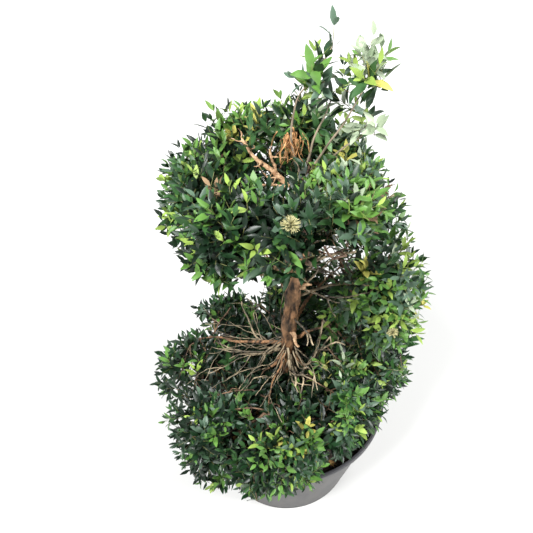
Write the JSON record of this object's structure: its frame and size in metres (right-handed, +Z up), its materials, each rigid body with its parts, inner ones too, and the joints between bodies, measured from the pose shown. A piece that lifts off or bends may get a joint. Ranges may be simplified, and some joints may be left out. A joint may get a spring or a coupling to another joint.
{
  "type": "potted evergreen spiral topiary",
  "caption": "Small-leaved evergreen shrub clipped into a loose climbing spiral round a bare leaning stem, with a feathery top, standing in a round plastic nursery pot.",
  "frame": {"origin": "middle of the pot's flat underside, where the plant stands", "axes": "+Z up along the stem; -Y towards the side the plant is seen from, +X to its right"},
  "size_m": [0.6248, 0.6013, 1.266],
  "materials": {
    "pot_plastic": "satin",
    "potting_mix": "matte",
    "bark": "matte",
    "cut_wood": "matte",
    "foliage": "satin",
    "young_foliage": "satin"
  },
  "bodies": {
    "root": {"pot": "pot_plastic", "potting_mix": "potting_mix", "skirt_right": "foliage", "skirt_back_right": "foliage", "skirt_back": "foliage", "skirt_back_left": "foliage", "skirt_left": "foliage", "skirt_front_left": "foliage", "skirt_front": "foliage", "skirt_front_right": "foliage", "rise_right": "foliage", "rise_back_right_low": "foliage", "rise_back_low": "foliage", "rise_back_right_high": "foliage", "rise_back_high": "foliage", "ring_back_left": "foliage", "ring_left": "foliage", "ring_front_left": "foliage", "ring_front": "foliage", "ring_front_right": "foliage", "crown_right": "foliage", "crown_back_right": "foliage", "crown_back": "foliage", "tuft_right": "young_foliage", "tuft_middle": "young_foliage", "tuft_back": "young_foliage", "tuft_shoot": "young_foliage", "tuft_tip": "young_foliage", "trunk": "bark", "bough_skirt_left": "bark", "bough_skirt_front_left": "bark", "bough_skirt_front": "bark", "bough_skirt_front_right": "bark", "bough_skirt_right": "bark", "bough_skirt_back_right": "bark", "bough_skirt_back": "bark", "bough_skirt_back_left": "bark", "bough_rise_right": "bark", "bough_rise_back_right": "bark", "bough_rise_back": "bark", "bough_ring_back": "bark", "bough_ring_back_left": "bark", "bough_ring_left": "bark", "bough_ring_front_left": "bark", "bough_ring_front": "bark", "bough_ring_front_right": "bark", "stub_lower": "cut_wood", "stub_middle": "cut_wood", "stub_upper": "cut_wood", "stem_tall_shoot": "bark", "stem_tuft_left": "bark", "stem_tuft_middle": "bark", "stem_tuft_right": "bark"}
  },
  "joints": []
}
